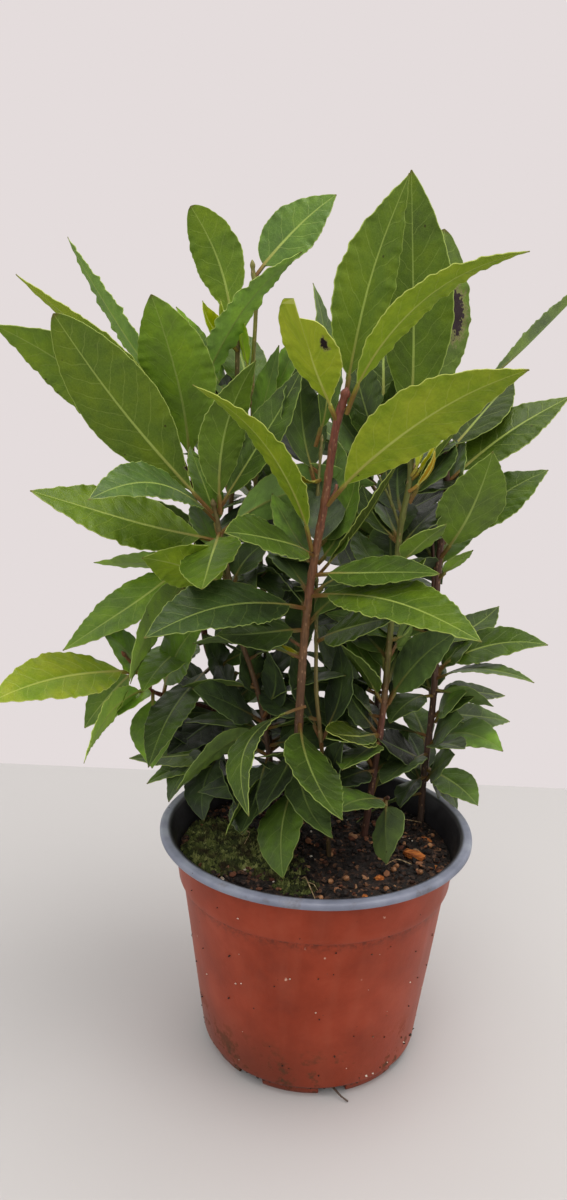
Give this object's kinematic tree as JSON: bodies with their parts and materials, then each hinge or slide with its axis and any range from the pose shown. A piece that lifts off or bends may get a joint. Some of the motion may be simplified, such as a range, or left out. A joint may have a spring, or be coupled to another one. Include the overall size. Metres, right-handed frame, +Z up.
{
  "type": "bay laurel in a pot",
  "caption": "Young bay laurel with several upright woody stems and pointed glossy leaves, planted in peat in a round tapered plastic nursery pot with a wide rim and a notched foot ring.",
  "frame": {"origin": "centre of the pot's foot, on the surface it stands on", "axes": "+Z up along the pot's axis, -Y towards the front, +X to the right seen from the front"},
  "size_m": [0.3145, 0.1949, 0.4612],
  "materials": {
    "clay_red_plastic": "satin, lightly scuffed",
    "peat": "rough, crumbly and moist",
    "moss": "matt and fibrous",
    "pine_bark": "rough",
    "stem_bark": "smooth thin bark",
    "young_leaf": "waxy, semi-gloss",
    "grown_leaf": "waxy, semi-gloss",
    "old_leaf": "waxy, glossy"
  },
  "bodies": {
    "root": {"back_leaf_01": "young_leaf", "back_left_leaf_01": "young_leaf", "back_left_leaf_02": "grown_leaf", "back_left_stem": "stem_bark", "back_stem": "stem_bark", "bark_chip": "pine_bark", "far_leaf_01": "young_leaf", "far_leaf_02": "young_leaf", "far_leaf_03": "grown_leaf", "far_leaf_04": "grown_leaf", "far_stem": "stem_bark", "front_leaf_01": "young_leaf", "front_leaf_02": "young_leaf", "front_leaf_03": "young_leaf", "front_leaf_04": "young_leaf", "front_leaf_05": "grown_leaf", "front_leaf_06": "grown_leaf", "front_leaf_07": "grown_leaf", "front_leaf_08": "grown_leaf", "front_leaf_09": "grown_leaf", "front_leaf_10": "old_leaf", "front_leaf_11": "old_leaf", "front_stem": "stem_bark", "left_leaf_01": "grown_leaf", "left_leaf_02": "grown_leaf", "left_leaf_03": "grown_leaf", "left_leaf_04": "grown_leaf", "left_leaf_05": "grown_leaf", "left_leaf_06": "grown_leaf", "left_leaf_07": "old_leaf", "left_stem": "stem_bark", "left_twig": "stem_bark", "left_twig_leaf_01": "grown_leaf", "left_twig_leaf_02": "old_leaf", "left_twig_leaf_03": "old_leaf", "middle_leaf_01": "young_leaf", "middle_leaf_02": "young_leaf", "middle_leaf_03": "old_leaf", "middle_stem": "stem_bark", "moss_patch": "moss", "outer_left_leaf_01": "young_leaf", "outer_left_leaf_02": "young_leaf", "outer_left_leaf_03": "young_leaf", "outer_left_leaf_04": "young_leaf", "outer_left_leaf_05": "grown_leaf", "outer_left_leaf_06": "grown_leaf", "outer_left_stem": "stem_bark", "pot": "clay_red_plastic", "potting_soil": "peat", "right_leaf_01": "grown_leaf", "right_leaf_02": "grown_leaf", "right_leaf_03": "young_leaf", "right_leaf_04": "young_leaf", "right_leaf_05": "grown_leaf", "right_leaf_06": "old_leaf", "right_leaf_07": "old_leaf", "right_leaf_08": "grown_leaf", "right_stem": "stem_bark", "thin_leaf_01": "grown_leaf", "thin_stem": "stem_bark"}
  },
  "joints": []
}
